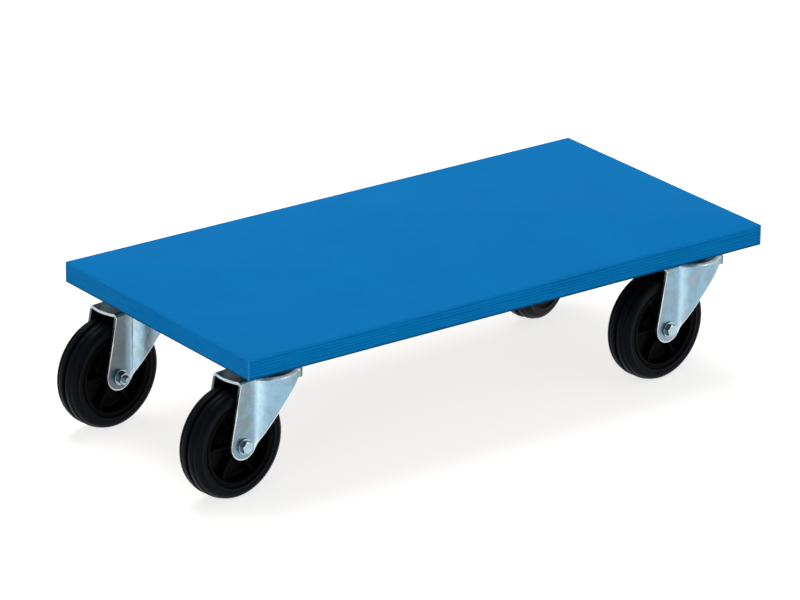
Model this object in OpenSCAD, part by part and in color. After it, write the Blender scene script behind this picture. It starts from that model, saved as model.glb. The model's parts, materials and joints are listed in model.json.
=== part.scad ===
// Platform trolley: a painted plywood deck on four swivel casters.
// Origin: centre of the bounding box on the floor. +X along the deck, +Z up. Millimetres.

/* [Deck] */
// Length of the deck along X
deck_l = 700; // [600:10:900]
// Width of the deck along Y
deck_w = 350; // [300:10:500]
// Thickness of the plywood board
deck_t = 24; // [21:1:27]
// Radius of the small round-over on the board's edges
deck_r = 1.5; // [1:0.5:4]
// Distance from a deck end to the kingpin
king_in_x = 60; // [58:1:80]
// Distance from a deck side to the kingpin
king_in_y = 57; // [50:1:70]

/* [Caster heights] */
// Height of the deck's underside above the floor
caster_h = 150; // [150:1:155]
// Thickness of the mounting plate
plate_t = 3; // [2.5:0.5:4]
// Offset of the axle from the kingpin
trail = 48; // [46:1:51]
// Thickness of the fork's pressed sheet
sheet_t = 3; // [2.5:0.5:3]
// Height of the crown sheet's underside above the axle
crown_v = 70.5; // [70:0.5:71]

/* [Swivel angles at rest] */
// Front left caster, degrees about +Z
turn_fl = 7; // [-45:1:45]
// Rear left caster
turn_rl = 7; // [-45:1:45]
// Front right caster
turn_fr = 6; // [-45:1:45]
// Rear right caster
turn_rr = 24; // [-45:1:45]

/* [Wheel] */
// Outer radius of the tyre
tyre_r = 62.5; // [60:0.5:62.5]
// Width of the tyre
tyre_w = 34; // [32:1:34]
// Length of the hub
hub_l = 37; // [36:0.5:37]
// Radius of the seat between rim and tyre
seat_r = 46.5; // [44:0.5:48]
// Width of the tread's middle groove
groove_w = 4; // [2:0.5:5]
// Depth of the tread's middle groove
groove_d = 2.5; // [1:0.5:4]
// Number of ribs on each side of the rim's web
rib_n = 6; // [4:1:8]

/* [Fork] */
// Distance between the fork legs' inner faces
fork_gap = 38; // [38:0.5:41]
// Radius of the fork's round cup about the kingpin
crown_r = 37.5; // [36:0.5:40]
// Radius of the lip at the cup's nose
nose_r = 41; // [40:0.5:44]
// Radius of the leg's end around the axle
leg_end_r = 18; // [16:0.5:20]
// Height of the middle of the leg's end above the axle
leg_end_v = 2.5; // [0:0.5:3]
// Outer radius of the bend between crown and leg
bend_r = 4; // [3.5:0.5:5]
// Height of the lip at the cup's nose
skirt_h = 10.5; // [9:0.5:18]

/* [Fasteners] */
// Diameter of the axle bolt
bolt_d = 8; // [8:1:8]
// Width across flats of the bolt head and nut
flats = 13; // [13:0.5:13]
// Height of the bolt head
head_h = 5.3; // [5:0.1:6]
// Height of the nut
nut_h = 6.8; // [6:0.1:8]
// Radius of the axle washers
washer_r = 9; // [8:0.5:9.5]
// Thickness of the axle washers
washer_t = 1.6; // [1:0.2:2]
// Spacing of the plate's slots along X
slots_x = 80; // [76:1:84]
// Spacing of the plate's slots along Y
slots_y = 60; // [56:1:64]

/* [Hidden] */
SPOTS = ["front_left", "rear_left", "front_right", "rear_right"];
FIXED = ["mounting_plate", "kingpin", "lower_race", "upper_balls", "lower_balls"];
TURNING = ["dust_ring", "fork", "axle_bolt", "axle_washers", "axle_nut", "axle_sleeve"];
ROLLING = ["roller_bearing", "wheel_rim", "tyre"];
$fn = 64;
eps = 0.01;
fit = 0.05;

turns = [turn_fl, turn_rl, turn_fr, turn_rr];
side_x = [-1, -1, 1, 1];
side_y = [-1, 1, -1, 1];
nut_sides = [1, -1, 1, 1];
king_x = deck_l / 2 - king_in_x;
king_y = deck_w / 2 - king_in_y;
axle_z = tyre_r;
deck_z = caster_h;

// tyre section, from the seat outwards, on one side of the middle plane
shoulder_w = 10;
shoulder_h = 6.5;
crown_half = tyre_w / 2 - shoulder_w;
function shoulder(side) = [for (a = [0:15:90])
    [tyre_r - shoulder_h * (1 - cos(a)), side * (crown_half + shoulder_w * sin(a))]];
function turned(p) = [for (i = [len(p) - 1:-1:0]) p[i]];
tyre_half = concat(
    [[tyre_r - groove_d, groove_w / 2 - 0.6], [tyre_r, groove_w / 2]], shoulder(1),
    [[seat_r + 3, tyre_w / 2], [seat_r + 0.6, tyre_w / 2 - 2], [seat_r, tyre_w / 2 - 2.6]]);
tyre_profile = concat(tyre_half, turned([for (p = tyre_half) [p[0], -p[1]]]));

// how far a swivelled wheel reaches along X past its own centre
function reach(turn) = max([for (p = tyre_profile) p[0] * cos(turn) + abs(p[1] * sin(turn))]);
low_x = min([for (i = [0:3]) side_x[i] * king_x - trail * cos(turns[i]) - reach(turns[i])]);
high_x = max([for (i = [0:3]) side_x[i] * king_x - trail * cos(turns[i]) + reach(turns[i])]);
shift_x = -(min(low_x, -deck_l / 2) + max(high_x, deck_l / 2)) / 2;

// fork outline beside the wheel: u forward from the axle, v up from it
fork_half = fork_gap / 2 + sheet_t;
crown_top = crown_v + sheet_t;
crease_x = sqrt(pow(crown_r, 2) - pow(fork_half, 2));
leg_back = [-5, crown_top];
nose_u = trail + 24;
function tangent(p, r, s) = let (d = norm(p), a = atan2(p[1], p[0]) + s * acos(r / d))
    [r * cos(a), r * sin(a)];
leg_end = [0, leg_end_v];
leg_low_back = leg_end + tangent(leg_back - leg_end, leg_end_r - 0.1, 1);
leg_low_front = leg_end + (leg_end_r - 0.3) * [cos(-23.5), sin(-23.5)];
leg_bow = [42, 52];
leg_front = [nose_u, crown_top - skirt_h];
front_n = 10;
leg_front_edge = [for (i = [0:front_n]) let (t = i / front_n)
    pow(1 - t, 2) * leg_low_front + 2 * t * (1 - t) * leg_bow + t * t * leg_front];

// swivel head, heights above the floor and radii from the kingpin
dome_top = 139;
dome_wall_r = 22.5;
boss_low = 141.7;
upper_ball_r = 3;
upper_pitch = 16.5;
upper_z = (dome_top + boss_low) / 2;
upper_n = 12;
lower_ball_r = 2.5;
lower_pitch = 12;
dome_in = dome_top - sheet_t;
race_top = dome_in - 2.6;
lower_z = (dome_in + race_top) / 2;
lower_n = 10;
race_t = 3;
king_r = 6;
king_head_z = 144.6;
hex_r = flats / 2 / cos(30);
sleeve_r = 6.5;
hub_bore = 10;
roller_r = 1.7;
roller_n = 8;

module placed(i) {
    translate([side_x[i] * king_x + shift_x, side_y[i] * king_y, 0]) children();
}
module swivelled(i) {
    placed(i) rotate([0, 0, turns[i]]) children();
}
// children are drawn about the axle: their Z axis runs along the axle
module on_axle(i) {
    swivelled(i) translate([-trail, 0, axle_z]) rotate([-90, 0, 0]) children();
}
module ring(r_out, r_in, h) {
    difference() {
        cylinder(r = r_out, h = h);
        translate([0, 0, -1]) cylinder(r = r_in, h = h + 2);
    }
}
module groove(pitch, r, z) {
    translate([0, 0, z]) rotate_extrude() translate([pitch, 0]) circle(r = r);
}
module hex(h) {
    cylinder(r = hex_r, h = h, $fn = 6);
}

module rounded_rect(l, w, r) {
    square([l - 2 * r, w], center = true);
    square([l, w - 2 * r], center = true);
    for (x = [-1, 1]) for (y = [-1, 1])
        translate([x * (l / 2 - r), y * (w / 2 - r)]) circle(r = r);
}
module screw_spots() {
    for (i = [0:3]) placed(i)
        for (x = [-1, 1]) for (y = [-1, 1])
            translate([x * slots_x / 2, y * slots_y / 2, 0]) children();
}
screw_in = 15;

module deck_board() {
    color([0.0, 0.46, 0.74]) difference() {
        translate([shift_x, 0, deck_z]) intersection() {
            linear_extrude(deck_t) rounded_rect(deck_l, deck_w, deck_r);
            translate([0, deck_w / 2 + 1, deck_t / 2]) rotate([90, 0, 0])
                linear_extrude(deck_w + 2) rounded_rect(deck_l, deck_t, deck_r);
            translate([-deck_l / 2 - 1, 0, deck_t / 2]) rotate([90, 0, 90])
                linear_extrude(deck_l + 2) rounded_rect(deck_w, deck_t, deck_r);
        }
        screw_spots() translate([0, 0, deck_z - 1])
            cylinder(r = bolt_d / 2 + fit, h = screw_in + 2);
    }
}
module plate_screws() {
    color([0.75, 0.77, 0.8]) screw_spots() {
        translate([0, 0, deck_z - plate_t - head_h]) hex(head_h);
        translate([0, 0, deck_z - plate_t - eps]) cylinder(d = bolt_d, h = plate_t + screw_in);
    }
}
module slot_holes() {
    slot = 4;
    for (x = [-1, 1]) for (y = [-1, 1]) translate([x * slots_x / 2, y * slots_y / 2, -1]) {
        for (s = [-1, 1]) translate([s * slot / 2, 0, 0])
            cylinder(d = bolt_d + 1, h = plate_t + 2);
        translate([-slot / 2, -(bolt_d + 1) / 2, 0]) cube([slot, bolt_d + 1, plate_t + 2]);
    }
}
module mounting_plate(i) {
    low = deck_z - plate_t;
    color([0.74, 0.78, 0.82]) placed(i) difference() {
        union() {
            translate([0, 0, low]) linear_extrude(plate_t) rounded_rect(105, 85, 6);
            translate([0, 0, boss_low]) cylinder(r = dome_wall_r, h = low - boss_low + eps);
        }
        translate([0, 0, low]) slot_holes();
        translate([0, 0, king_head_z]) cylinder(r = 14, h = 20);
        translate([0, 0, boss_low - 1]) cylinder(r = king_r + fit, h = 20);
        groove(upper_pitch, upper_ball_r + fit, upper_z);
    }
}
module kingpin(i) {
    low = race_top - race_t;
    color([0.7, 0.73, 0.77]) placed(i) {
        translate([0, 0, low - 4]) cylinder(r = 9.5, h = 4);
        translate([0, 0, low - 1]) cylinder(r = king_r, h = king_head_z - low + 2);
        translate([0, 0, king_head_z]) cylinder(r = 10, h = 5);
    }
}
module lower_race(i) {
    color([0.7, 0.73, 0.77]) placed(i) difference() {
        translate([0, 0, race_top - race_t]) ring(15.5, king_r + fit, race_t);
        groove(lower_pitch, lower_ball_r + fit, lower_z);
    }
}
module ball_ring(i, n, pitch, r, z) {
    color([0.8, 0.82, 0.85]) placed(i)
        for (k = [0:n - 1]) rotate([0, 0, k * 360 / n]) translate([pitch, 0, z]) sphere(r = r);
}
module upper_balls(i) {
    ball_ring(i, upper_n, upper_pitch, upper_ball_r, upper_z);
}
module lower_balls(i) {
    ball_ring(i, lower_n, lower_pitch, lower_ball_r, lower_z);
}
module dust_ring(i) {
    color([0.12, 0.12, 0.13]) swivelled(i) translate([0, 0, dome_top])
        ring(dome_wall_r, dome_wall_r - 2, boss_low - dome_top - 0.4);
}

// side view of the fork as a plate outline, lying in the XY plane, u along X and v along Y
module leg_outline() {
    polygon(concat([leg_back, leg_low_back], leg_front_edge, [[nose_u, crown_top]]));
    translate(leg_end) circle(r = leg_end_r);
}
// the flat legs and the crown strip between them, seen along the fork
module channel_section() {
    difference() {
        union() {
            translate([-fork_half, -leg_end_r - 2])
                square([fork_half * 2, crown_top + leg_end_r + 2 - bend_r]);
            translate([-fork_half + bend_r, 0]) square([2 * (fork_half - bend_r), crown_top]);
            for (s = [-1, 1]) translate([s * (fork_half - bend_r), crown_top - bend_r])
                circle(r = bend_r);
        }
        translate([-fork_gap / 2, -leg_end_r - 3])
            square([fork_gap, crown_v + leg_end_r + 3]);
    }
}
// a pressed cup about the kingpin, open below, with a rounded rim; its wall starts at height low
module cup(r, wall, low) {
    rotate_extrude() difference() {
        union() {
            translate([0, low]) square([r, crown_top - low - bend_r]);
            translate([0, low]) square([r - bend_r, crown_top - low]);
            translate([r - bend_r, crown_top - bend_r]) circle(r = bend_r);
        }
        translate([-1, low - 1]) square([r - wall + 1, crown_v - low + 1]);
    }
}
module side_slab(w) {
    translate([-trail, w, axle_z]) rotate([90, 0, 0]) linear_extrude(2 * w) leg_outline();
}
module fork(i) {
    low = -leg_end_r - 5;
    color([0.72, 0.8, 0.86]) swivelled(i) difference() {
        union() {
            intersection() {
                side_slab(fork_half + 1);
                translate([-trail - leg_end_r - 5, 0, axle_z]) rotate([90, 0, 90])
                    linear_extrude(trail + leg_end_r + 6 - crease_x) channel_section();
            }
            intersection() {
                side_slab(crown_r + 1);
                translate([0, 0, axle_z]) cup(crown_r, sheet_t, low);
            }
            intersection() {
                translate([0, 0, axle_z]) cup(nose_r, nose_r - crown_r + 1, crown_top - skirt_h);
                translate([nose_u - trail - 1, -nose_r - 1, axle_z])
                    cube([nose_r, 2 * nose_r + 2, crown_top + 1]);
            }
            translate([0, 0, axle_z + crown_v])
                cylinder(r = dome_wall_r, h = dome_top - axle_z - crown_v);
        }
        translate([-trail - leg_end_r - 5, -fork_gap / 2, axle_z + low - 1])
            cube([trail + leg_end_r, fork_gap, crown_v - low + 1]);
        translate([0, 0, axle_z + crown_v - 1])
            cylinder(r = dome_wall_r - sheet_t, h = dome_in - axle_z - crown_v + 1);
        translate([0, 0, axle_z + crown_v]) cylinder(r = king_r + 1, h = 30);
        groove(upper_pitch, upper_ball_r + fit, upper_z);
        groove(lower_pitch, lower_ball_r + fit, lower_z);
        translate([-trail, fork_half + 1, axle_z]) rotate([90, 0, 0])
            cylinder(d = bolt_d + 2 * fit, h = 2 * fork_half + 2);
    }
}

module axle_bolt(i) {
    s = nut_sides[i];
    face = fork_half + washer_t;
    color([0.7, 0.76, 0.82]) on_axle(i) mirror([0, 0, s > 0 ? 0 : 1]) {
        translate([0, 0, -face - head_h]) hex(head_h);
        translate([0, 0, -face - 1]) cylinder(d = bolt_d, h = 2 * face + nut_h + 4.5);
    }
}
module axle_washers(i) {
    color([0.74, 0.78, 0.82]) on_axle(i) for (s = [0, 1]) mirror([0, 0, s])
        translate([0, 0, fork_half]) ring(washer_r, bolt_d / 2 + fit, washer_t);
}
module axle_nut(i) {
    s = nut_sides[i];
    color([0.74, 0.78, 0.82]) on_axle(i) mirror([0, 0, s > 0 ? 0 : 1])
        translate([0, 0, fork_half + washer_t]) difference() {
            hex(nut_h);
            translate([0, 0, -1]) cylinder(d = bolt_d + 2 * fit, h = nut_h + 2);
        }
}
module axle_sleeve(i) {
    color([0.6, 0.62, 0.65]) on_axle(i) translate([0, 0, -fork_gap / 2])
        ring(sleeve_r, bolt_d / 2 + fit, fork_gap);
}
module roller_bearing(i) {
    pitch = (sleeve_r + hub_bore) / 2;
    roller_l = hub_l - 10;
    color([0.55, 0.57, 0.6]) on_axle(i) {
        for (k = [0:roller_n - 1]) rotate([0, 0, k * 360 / roller_n])
            translate([pitch, 0, -roller_l / 2]) cylinder(r = roller_r, h = roller_l);
        for (s = [0, 1]) mirror([0, 0, s]) translate([0, 0, roller_l / 2 + 0.3])
            ring(hub_bore - fit, sleeve_r + fit, 3);
    }
}
module wheel_rim(i) {
    lip_w = tyre_w - 3;
    rim_in = seat_r - 4.5;
    color([0.08, 0.08, 0.09]) on_axle(i) difference() {
        union() {
            translate([0, 0, -lip_w / 2]) ring(seat_r, rim_in, lip_w);
            translate([0, 0, -3]) cylinder(r = rim_in + 1, h = 6);
            translate([0, 0, -hub_l / 2]) cylinder(r = 17, h = hub_l);
            for (k = [0:rib_n - 1]) rotate([0, 0, k * 360 / rib_n])
                translate([14, -1.5, -11]) cube([rim_in - 13, 3, 22]);
        }
        translate([0, 0, -hub_l / 2 - 1]) cylinder(r = hub_bore, h = hub_l + 2);
    }
}
module tyre(i) {
    color([0.05, 0.05, 0.055]) on_axle(i) rotate_extrude($fn = 96) polygon(tyre_profile);
}

deck_board();
plate_screws();
for (i = [0:3]) {
    mounting_plate(i);
    kingpin(i);
    lower_race(i);
    upper_balls(i);
    lower_balls(i);
    dust_ring(i);
    fork(i);
    axle_bolt(i);
    axle_washers(i);
    axle_nut(i);
    axle_sleeve(i);
    roller_bearing(i);
    wheel_rim(i);
    tyre(i);
}
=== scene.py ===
"""Platform trolley: the looks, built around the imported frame. Lengths in the mesh code are millimetres."""

import json
import math
import random

import bmesh
import bpy
from mathutils import Matrix, Vector, noise


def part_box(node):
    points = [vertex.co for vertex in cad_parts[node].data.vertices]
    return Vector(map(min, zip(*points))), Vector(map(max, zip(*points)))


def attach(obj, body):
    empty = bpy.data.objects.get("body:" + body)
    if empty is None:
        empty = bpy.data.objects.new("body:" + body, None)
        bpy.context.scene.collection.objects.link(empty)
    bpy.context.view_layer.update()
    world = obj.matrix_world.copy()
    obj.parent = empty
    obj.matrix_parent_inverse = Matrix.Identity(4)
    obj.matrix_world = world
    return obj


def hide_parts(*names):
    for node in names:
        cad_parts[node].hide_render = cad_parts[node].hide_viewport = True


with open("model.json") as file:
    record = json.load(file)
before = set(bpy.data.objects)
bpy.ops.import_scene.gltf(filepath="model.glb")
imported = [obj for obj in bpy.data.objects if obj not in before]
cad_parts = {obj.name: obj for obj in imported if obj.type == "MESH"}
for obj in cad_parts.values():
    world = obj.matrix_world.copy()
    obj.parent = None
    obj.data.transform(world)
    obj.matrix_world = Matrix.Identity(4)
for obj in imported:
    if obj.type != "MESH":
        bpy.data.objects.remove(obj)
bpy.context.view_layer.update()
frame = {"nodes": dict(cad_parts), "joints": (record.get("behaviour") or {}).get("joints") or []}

MM = 0.001
SPOTS = ["front_left", "rear_left", "front_right", "rear_right"]
# side of the fork that the head of the wheel bolt is on: 1 towards +Y, -1 towards -Y
HEAD_SIDE = {"front_left": -1, "rear_left": 1, "front_right": -1, "rear_right": -1}
JOINTS = {j["name"]: j for j in frame["joints"]}
scene = bpy.context.scene
rng = random.Random(7)


# ---------------------------------------------------------------- places
def joint_place(name):
    return Vector(JOINTS[name]["pos_m"])


def caster_matrix(spot):
    """Maps (forward, sideways, height above the floor) in millimetres to the row frame."""
    king, axle = joint_place("swivel_" + spot), joint_place("roll_" + spot)
    side = Vector(JOINTS["roll_" + spot]["axis"]).normalized()
    ahead = Vector((side.y, -side.x, 0))
    assert (king - axle).dot(ahead) > 0
    m = Matrix(((ahead.x, side.x, 0, king.x), (ahead.y, side.y, 0, king.y), (0, 0, 1, 0), (0, 0, 0, 1)))
    return m @ Matrix.Scale(MM, 4)


def axle_matrix(spot):
    """Maps (x, y, along the axle) in millimetres to the row frame: x is forward, y is up."""
    m = caster_matrix(spot)
    turn = Matrix(((1, 0, 0, -TRAIL), (0, 0, 1, 0), (0, 1, 0, AXLE_Z), (0, 0, 0, 1)))
    return m @ turn


AXLE_Z = round(joint_place("roll_front_left").z / MM, 2)
TRAIL = round((joint_place("swivel_front_left") - joint_place("roll_front_left")).xy.length / MM, 2)
DECK_LOW, DECK_HIGH = (v * 1000 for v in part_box("deck_board"))
PLIES = 7


# ---------------------------------------------------------------- mesh helpers
def make(name, verts, faces, mats, matrix=None, sharp=None, face_mats=None):
    me = bpy.data.meshes.new(name)
    me.from_pydata([tuple(v) for v in verts], [], faces)
    me.transform(matrix if matrix is not None else Matrix.Scale(MM, 4))
    for m in mats:
        me.materials.append(m)
    if face_mats:
        me.polygons.foreach_set("material_index", face_mats)
    me.polygons.foreach_set("use_smooth", [True] * len(me.polygons))
    bm = bmesh.new()
    bm.from_mesh(me)
    bmesh.ops.remove_doubles(bm, verts=bm.verts, dist=1e-7)
    bmesh.ops.recalc_face_normals(bm, faces=bm.faces)
    bm.to_mesh(me)
    bm.free()
    if sharp is not None:
        me.set_sharp_from_angle(angle=math.radians(sharp))
    me.update()
    ob = bpy.data.objects.new(name, me)
    scene.collection.objects.link(ob)
    return ob


def join_parts(parts):
    """Several (verts, faces) lists as one."""
    verts, faces = [], []
    for v, f in parts:
        k = len(verts)
        verts += [Vector(p) for p in v]
        faces += [tuple(i + k for i in q) for q in f]
    return verts, faces


def moved(part, matrix):
    return [matrix @ Vector(v) for v in part[0]], part[1]


def lathe(profile, n, closed=True):
    """Turns (radius, height) points about Z. A closed profile gives a ring with no ends."""
    verts, faces = [], []
    for i in range(n):
        a = 2 * math.pi * i / n
        for r, h in profile:
            verts.append(Vector((r * math.cos(a), r * math.sin(a), h)))
    m = len(profile)
    for i in range(n):
        j = (i + 1) % n
        for k in range(m if closed else m - 1):
            up = (k + 1) % m
            faces.append((i * m + k, j * m + k, j * m + up, i * m + up))
    if not closed:
        faces.append(tuple(i * m for i in range(n))[::-1])
        faces.append(tuple(i * m + m - 1 for i in range(n)))
    return verts, faces


def rounded(points, radius, steps):
    """A closed outline with its corners rounded."""
    out = []
    n = len(points)
    for i, p in enumerate(points):
        p, a, b = Vector(p), Vector(points[i - 1]), Vector(points[(i + 1) % n])
        u, v = a - p, b - p
        cut = min(radius, 0.49 * u.length, 0.49 * v.length)
        s, e = p + u.normalized() * cut, p + v.normalized() * cut
        for k in range(steps + 1):
            t = k / steps
            out.append(tuple((1 - t) ** 2 * s + 2 * t * (1 - t) * p + t * t * e))
    return out


def hexagon(flats, h, chamfer_low=False, bore=0.0):
    """A hexagon bolt head or nut with the cone-cut corners of the real thing, standing on z=0."""
    per_side, cone = 8, 0.5  # points along a side, slope of the cut
    apothem = flats / 2
    flat_r = apothem * 0.95
    ring = []
    for side in range(6):
        a = math.radians(60 * side)
        for k in range(per_side):
            along = (k / per_side - 0.5) * 2 * math.tan(math.radians(30)) * apothem
            ring.append((apothem * math.cos(a) - along * math.sin(a),
                         apothem * math.sin(a) + along * math.cos(a)))
    n = len(ring)
    rows = []

    def row(radius, z):
        return [Vector((x / math.hypot(x, y) * radius, y / math.hypot(x, y) * radius, z)) for x, y in ring]

    def edge(z_of):
        return [Vector((x, y, z_of(math.hypot(x, y)))) for x, y in ring]

    def low(r):
        return max(0.0, (r - flat_r) * cone) if chamfer_low else 0.0

    def top(r):
        return h - max(0.0, (r - flat_r) * cone)

    if bore:
        rows.append(row(bore, 0.6))
        rows.append(row(bore + 0.6, 0.0))
    rows.append(row(flat_r, 0.0))
    rows.append(edge(low))
    rows.append(edge(lambda r: low(r) * 0.8 + top(r) * 0.2))
    rows.append(edge(lambda r: low(r) * 0.2 + top(r) * 0.8))
    rows.append(edge(top))
    rows.append(row(flat_r, h))
    rows.append(row(flat_r - 0.35, h + (0.0 if bore else 0.12)))
    if bore:
        rows.append(row(bore + 0.6, h))
        rows.append(row(bore, h - 0.6))
    else:
        rows.append(row(flat_r * 0.55, h + 0.12))
        rows.append(row(flat_r * 0.45, h - 0.15))
    verts = [v for r in rows for v in r]
    faces = []
    m = len(rows)
    for k in range(m if bore else m - 1):
        for i in range(n):
            j = (i + 1) % n
            a, b = k * n, ((k + 1) % m) * n
            faces.append((a + i, a + j, b + j, b + i))
    if not bore:
        faces.append(tuple(range(n))[::-1])
        faces.append(tuple((m - 1) * n + i for i in range(n)))
    return verts, faces


def bevel(ob, width, segments, angle):
    b = ob.modifiers.new("round", "BEVEL")
    b.width = width * MM
    b.segments = segments
    b.limit_method = "ANGLE"
    b.angle_limit = math.radians(angle)
    b.use_clamp_overlap = True
    w = ob.modifiers.new("normals", "WEIGHTED_NORMAL")
    w.keep_sharp = True


def freeze(ob):
    """Applies the modifiers, so that the piece is the plain mesh that is seen."""
    dg = bpy.context.evaluated_depsgraph_get()
    me = bpy.data.meshes.new_from_object(ob.evaluated_get(dg), preserve_all_data_layers=True, depsgraph=dg)
    ob.modifiers.clear()
    ob.data = me


# ---------------------------------------------------------------- materials
class Nodes:
    """A short way to write a node tree."""

    def __init__(self, name):
        self.mat = bpy.data.materials.new(name)
        self.mat.use_nodes = True
        self.nt = self.mat.node_tree
        self.bsdf = next(n for n in self.nt.nodes if n.type == "BSDF_PRINCIPLED")
        self.coords = self.add("ShaderNodeTexCoord").outputs["Object"]

    def add(self, kind, **props):
        n = self.nt.nodes.new(kind)
        for k, v in props.items():
            setattr(n, k, v)
        return n

    def put(self, socket, value):
        if isinstance(value, bpy.types.NodeSocket):
            self.nt.links.new(value, socket)
        else:
            socket.default_value = value

    def scaled(self, x, y, z):
        n = self.add("ShaderNodeMapping")
        n.inputs["Scale"].default_value = (x, y, z)
        self.put(n.inputs["Vector"], self.coords)
        return n.outputs["Vector"]

    def noise(self, vector, scale, detail=4.0, rough=0.55, distort=0.0):
        n = self.add("ShaderNodeTexNoise")
        self.put(n.inputs["Vector"], vector)
        n.inputs["Scale"].default_value = scale
        n.inputs["Detail"].default_value = detail
        n.inputs["Roughness"].default_value = rough
        n.inputs["Distortion"].default_value = distort
        return n.outputs["Fac"]

    def cells(self, vector, scale):
        n = self.add("ShaderNodeTexVoronoi", feature="F1")
        self.put(n.inputs["Vector"], vector)
        n.inputs["Scale"].default_value = scale
        return n.outputs["Distance"]

    def mask(self, name):
        return self.add("ShaderNodeAttribute", attribute_name=name).outputs["Fac"]

    def ramp(self, fac, stops):
        n = self.add("ShaderNodeValToRGB")
        n.color_ramp.interpolation = "LINEAR"
        els = n.color_ramp.elements
        while len(els) < len(stops):
            els.new(0.5)
        for e, (p, c) in zip(els, stops):
            e.position = p
            e.color = (*c, 1) if len(c) == 3 else c
        self.put(n.inputs["Fac"], fac)
        return n.outputs["Color"]

    def grey(self, fac, lo, hi, p0=0.0, p1=1.0):
        """A map from fac to a number between lo and hi."""
        n = self.add("ShaderNodeMapRange")
        n.inputs["From Min"].default_value = p0
        n.inputs["From Max"].default_value = p1
        n.inputs["To Min"].default_value = lo
        n.inputs["To Max"].default_value = hi
        self.put(n.inputs["Value"], fac)
        return n.outputs["Result"]

    def maths(self, op, a, b=0.0):
        n = self.add("ShaderNodeMath", operation=op)
        self.put(n.inputs[0], a)
        self.put(n.inputs[1], b)
        return n.outputs[0]

    def mix(self, fac, a, b, blend="MIX"):
        n = self.add("ShaderNodeMix", data_type="RGBA", blend_type=blend)
        self.put(n.inputs["Factor"], fac)
        self.put(n.inputs[6], a)
        self.put(n.inputs[7], b)
        return n.outputs[2]

    def bump(self, height, strength, distance, below=None):
        n = self.add("ShaderNodeBump")
        n.inputs["Strength"].default_value = strength
        n.inputs["Distance"].default_value = distance
        self.put(n.inputs["Height"], height)
        if below is not None:
            self.put(n.inputs["Normal"], below)
        return n.outputs["Normal"]

    def finish(self, **sockets):
        for k, v in sockets.items():
            self.put(self.bsdf.inputs[k.replace("_", " ")], v)
        return self.mat


def paint(name, edge=False, highlight=0.0, tone=1.0):
    """Blue paint, thick enough to level the face but not the plies on the edge."""
    n = Nodes(name)
    deep, plain, light = (tuple(v * tone for v in c) for c in (PAINT_DEEP, PAINT, PAINT_LIGHT))
    broad = n.noise(n.scaled(1, 1, 1), 9, 3, 0.6)
    mottle = n.noise(n.scaled(1, 1, 1), 160, 4, 0.65)
    grain = n.noise(n.scaled(6, 220, 220), 1.0, 5, 0.6, 0.4)
    colour = n.ramp(broad, [(0.3, deep), (0.7, plain)])
    colour = n.mix(n.grey(mottle, 0.0, 0.30, 0.35, 0.75), colour, (*light, 1))
    colour = n.mix(n.grey(grain, 0.0, 0.14, 0.52, 0.8), colour, (*deep, 1))
    rough = n.grey(mottle, 0.42, 0.56)
    peel = n.bump(mottle, 0.10, 0.0006)
    relief = n.bump(grain, 0.10 if not edge else 0.25, 0.0006, peel)
    if edge:
        z = n.add("ShaderNodeSeparateXYZ")
        n.put(z.inputs[0], n.coords)
        wobble = n.noise(n.scaled(30, 30, 8), 1.0, 4, 0.6)
        height = n.maths("ADD", z.outputs["Z"], n.grey(wobble, -0.0005, 0.0005))
        layer = n.maths("FRACT", n.maths("MULTIPLY", n.maths("SUBTRACT", height, DECK_LOW.z * MM),
                                           PLIES / ((DECK_HIGH.z - DECK_LOW.z) * MM)))
        gap = n.maths("ABSOLUTE", n.maths("SUBTRACT", layer, 0.5))
        line = n.grey(gap, 0.0, 1.0, 0.38, 0.47)
        streak = n.noise(n.scaled(14, 14, 900), 1.0, 3, 0.7)
        line = n.maths("MULTIPLY", line, n.grey(streak, 0.15, 1.0, 0.3, 0.6))
        colour = n.mix(n.maths("MULTIPLY", line, 0.6), colour, (*PAINT_DARK, 1))
        colour = n.mix(n.grey(streak, 0.0, 0.25, 0.5, 0.8), colour, (*PAINT_DARK, 1))
        relief = n.bump(line, 0.25, -0.0004, relief)
        # painted shadow: a dark line along the foot of the edge, below the lowest ply
        foot = n.grey(z.outputs["Z"], 0.85, 0.0, (DECK_LOW.z + 1.6) * MM, (DECK_LOW.z + 2.6) * MM)
        colour = n.mix(foot, colour, (*PAINT_FOOT_SHADOW, 1))
    # painted highlight: patches of lighter, shinier paint for the corners and the rounded top edge
    if highlight:
        glint = n.noise(n.scaled(60, 60, 60), 1.0, 3, 0.6)
        colour = n.mix(n.grey(glint, highlight * 0.35, highlight, 0.35, 0.65), colour, (*PAINT_HIGHLIGHT, 1))
    return n.finish(Base_Color=colour, Roughness=rough, Normal=relief,
                    Specular_IOR_Level=0.012 + 0.2 * highlight)


def veneer(name):
    """Bare plywood face, greyed and soiled: long grain, darker late wood, a few spots."""
    n = Nodes(name)
    cloud = n.noise(n.scaled(1, 1, 1), 7, 4, 0.6)
    ring = n.noise(n.scaled(2.2, 26, 1), 1.0, 3, 0.5, 1.6)
    fibre = n.noise(n.scaled(9, 420, 1), 1.0, 4, 0.65)
    band = n.maths("FRACT", n.maths("MULTIPLY", ring, 9.0))
    colour = n.ramp(band, [(0.0, (0.150, 0.112, 0.078)), (0.75, (0.185, 0.140, 0.098)),
                           (1.0, (0.115, 0.082, 0.056))])
    colour = n.mix(n.grey(fibre, 0.0, 0.45, 0.45, 0.75), colour, (0.085, 0.062, 0.044, 1))
    colour = n.mix(n.grey(cloud, 0.0, 0.40, 0.45, 0.75), colour, (0.110, 0.098, 0.086, 1))
    return n.finish(Base_Color=colour, Roughness=n.grey(fibre, 0.62, 0.82),
                    Normal=n.bump(fibre, 0.25, 0.0005), Specular_IOR_Level=0.2)


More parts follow.
